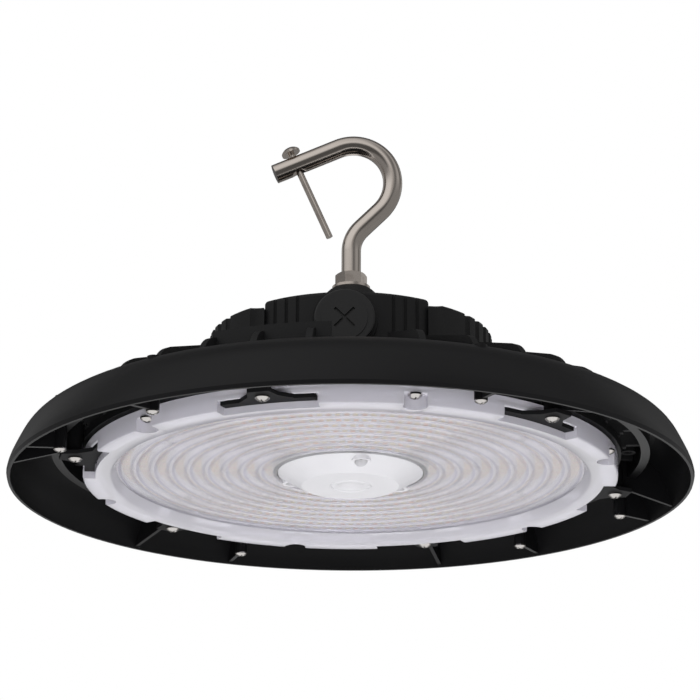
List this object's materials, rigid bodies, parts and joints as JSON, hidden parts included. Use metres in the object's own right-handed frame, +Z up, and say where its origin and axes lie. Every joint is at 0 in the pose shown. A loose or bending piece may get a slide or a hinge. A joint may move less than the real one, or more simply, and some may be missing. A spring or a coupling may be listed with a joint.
{
  "type": "high bay light",
  "caption": "Round low LED high bay light with a dished black shroud, finned heat sink, ring-lens cover and a bent-rod hook.",
  "frame": {"origin": "centre of the plane that the shroud's bottom lip lies in", "axes": "+Z up, towards the hook; the side entry faces -Y"},
  "size_m": [0.3444, 0.3444, 0.1899],
  "materials": {
    "shroud_plastic": "satin black moulded plastic",
    "cast_metal": "matt black powder coat on die-cast aluminium",
    "plug_plastic": "satin black moulded plastic",
    "clip_plastic": "satin black nylon",
    "lens_plastic": "translucent ribbed polycarbonate",
    "cover_plastic": "frosted white polycarbonate",
    "stainless": "satin stainless steel",
    "screw_steel": "bright stainless steel",
    "seal_rubber": "silicone",
    "board_white": "white solder mask on aluminium",
    "chip_phosphor": "yellow phosphor",
    "board_green": "green solder mask",
    "ferrite": "matt ferrite with varnished winding",
    "can_sleeve": "printed sleeve, bare",
    "terminal_plastic": "moulded terminal block",
    "lead_jacket": "silicone lead"
  },
  "bodies": {
    "root": {"blanking_plug": "plug_plastic", "board_leads": "lead_jacket", "centre_cover": "cover_plastic", "centre_cover_screws": "screw_steel", "driver_board": "board_green", "driver_board_screws": "screw_steel", "driver_capacitors": "can_sleeve", "driver_choke": "ferrite", "driver_gasket": "seal_rubber", "driver_housing": "cast_metal", "driver_housing_screws": "screw_steel", "driver_transformer": "ferrite", "heat_sink": "cast_metal", "hook": "stainless", "hook_nut": "stainless", "hook_washer": "stainless", "lead_grommet": "seal_rubber", "led_board": "board_white", "led_board_screws": "screw_steel", "led_ring_1": "chip_phosphor", "led_ring_2": "chip_phosphor", "led_ring_3": "chip_phosphor", "led_ring_4": "chip_phosphor", "led_ring_5": "chip_phosphor", "led_ring_6": "chip_phosphor", "led_ring_7": "chip_phosphor", "led_ring_8": "chip_phosphor", "led_ring_9": "chip_phosphor", "lens": "lens_plastic", "lens_clip_1": "clip_plastic", "lens_clip_2": "clip_plastic", "lens_clip_3": "clip_plastic", "lens_clip_4": "clip_plastic", "lens_clip_5": "clip_plastic", "lens_clip_6": "clip_plastic", "lens_clip_screws": "screw_steel", "lens_gasket": "seal_rubber", "lens_inner_gasket": "seal_rubber", "lens_screws": "screw_steel", "outer_shroud": "shroud_plastic", "plug_seal": "seal_rubber", "post_screws": "screw_steel", "safety_pin": "stainless", "shroud_screws": "screw_steel", "terminal_block": "terminal_plastic"}
  },
  "joints": []
}
